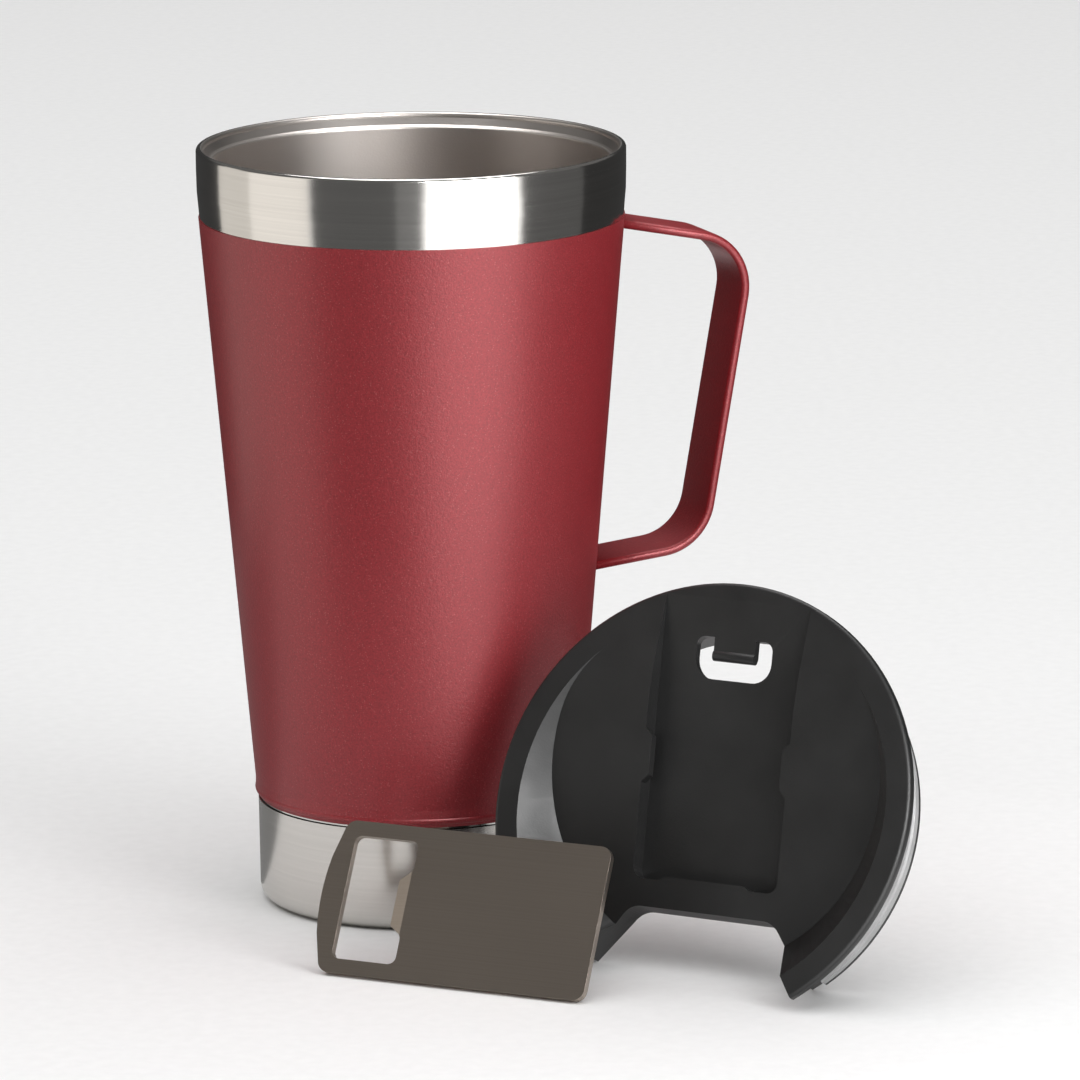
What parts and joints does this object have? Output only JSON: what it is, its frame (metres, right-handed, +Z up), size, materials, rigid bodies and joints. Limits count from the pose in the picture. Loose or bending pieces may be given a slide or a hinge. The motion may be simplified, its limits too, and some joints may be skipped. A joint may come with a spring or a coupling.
{
  "type": "insulated travel mug",
  "caption": "Tapered double-wall steel travel mug with a coated cone and strap handle, a loose recessed lid standing beside it, and the flat bottle opener that stows in the lid.",
  "frame": {"origin": "centre of the mug's flat base, on the surface it stands on", "axes": "+Z up along the mug's axis; -Y towards the front, where the opener leans; +X towards the handle's side"},
  "size_m": [0.1568, 0.155, 0.172],
  "materials": {
    "brushed_steel": "brushed around the axis, satin",
    "liner_steel": "bead-blasted, soft satin",
    "powder_coat": "fine textured metallic powder coat, semi-gloss",
    "solder_glass": "dark fused glass",
    "getter_metal": "matt sintered pellet",
    "lid_plastic": "fine mould texture, satin",
    "silicone": "translucent matt silicone",
    "opener_steel": "brushed along its length"
  },
  "bodies": {
    "mug": {"outer_shell": "brushed_steel", "inner_liner": "liner_steel", "rim_weld": "brushed_steel", "powder_coat": "powder_coat", "base_cup": "brushed_steel", "vacuum_base": "brushed_steel", "vacuum_seal": "solder_glass", "getter": "getter_metal", "getter_strap": "brushed_steel", "handle": "powder_coat", "upper_handle_weld": "powder_coat", "lower_handle_weld": "powder_coat"},
    "lid": {"lid_body": "lid_plastic", "lid_gasket": "silicone"},
    "opener": {"opener": "opener_steel"}
  },
  "joints": [
    {"name": "lid_lift", "type": "slide", "parent": "mug", "child": "lid", "axis": [0.7071, 0, 0.7071], "range_m": [0, 0.08]},
    {"name": "opener_lift", "type": "slide", "parent": "mug", "child": "opener", "axis": [0, 0, 1], "range_m": [0, 0.06]}
  ]
}
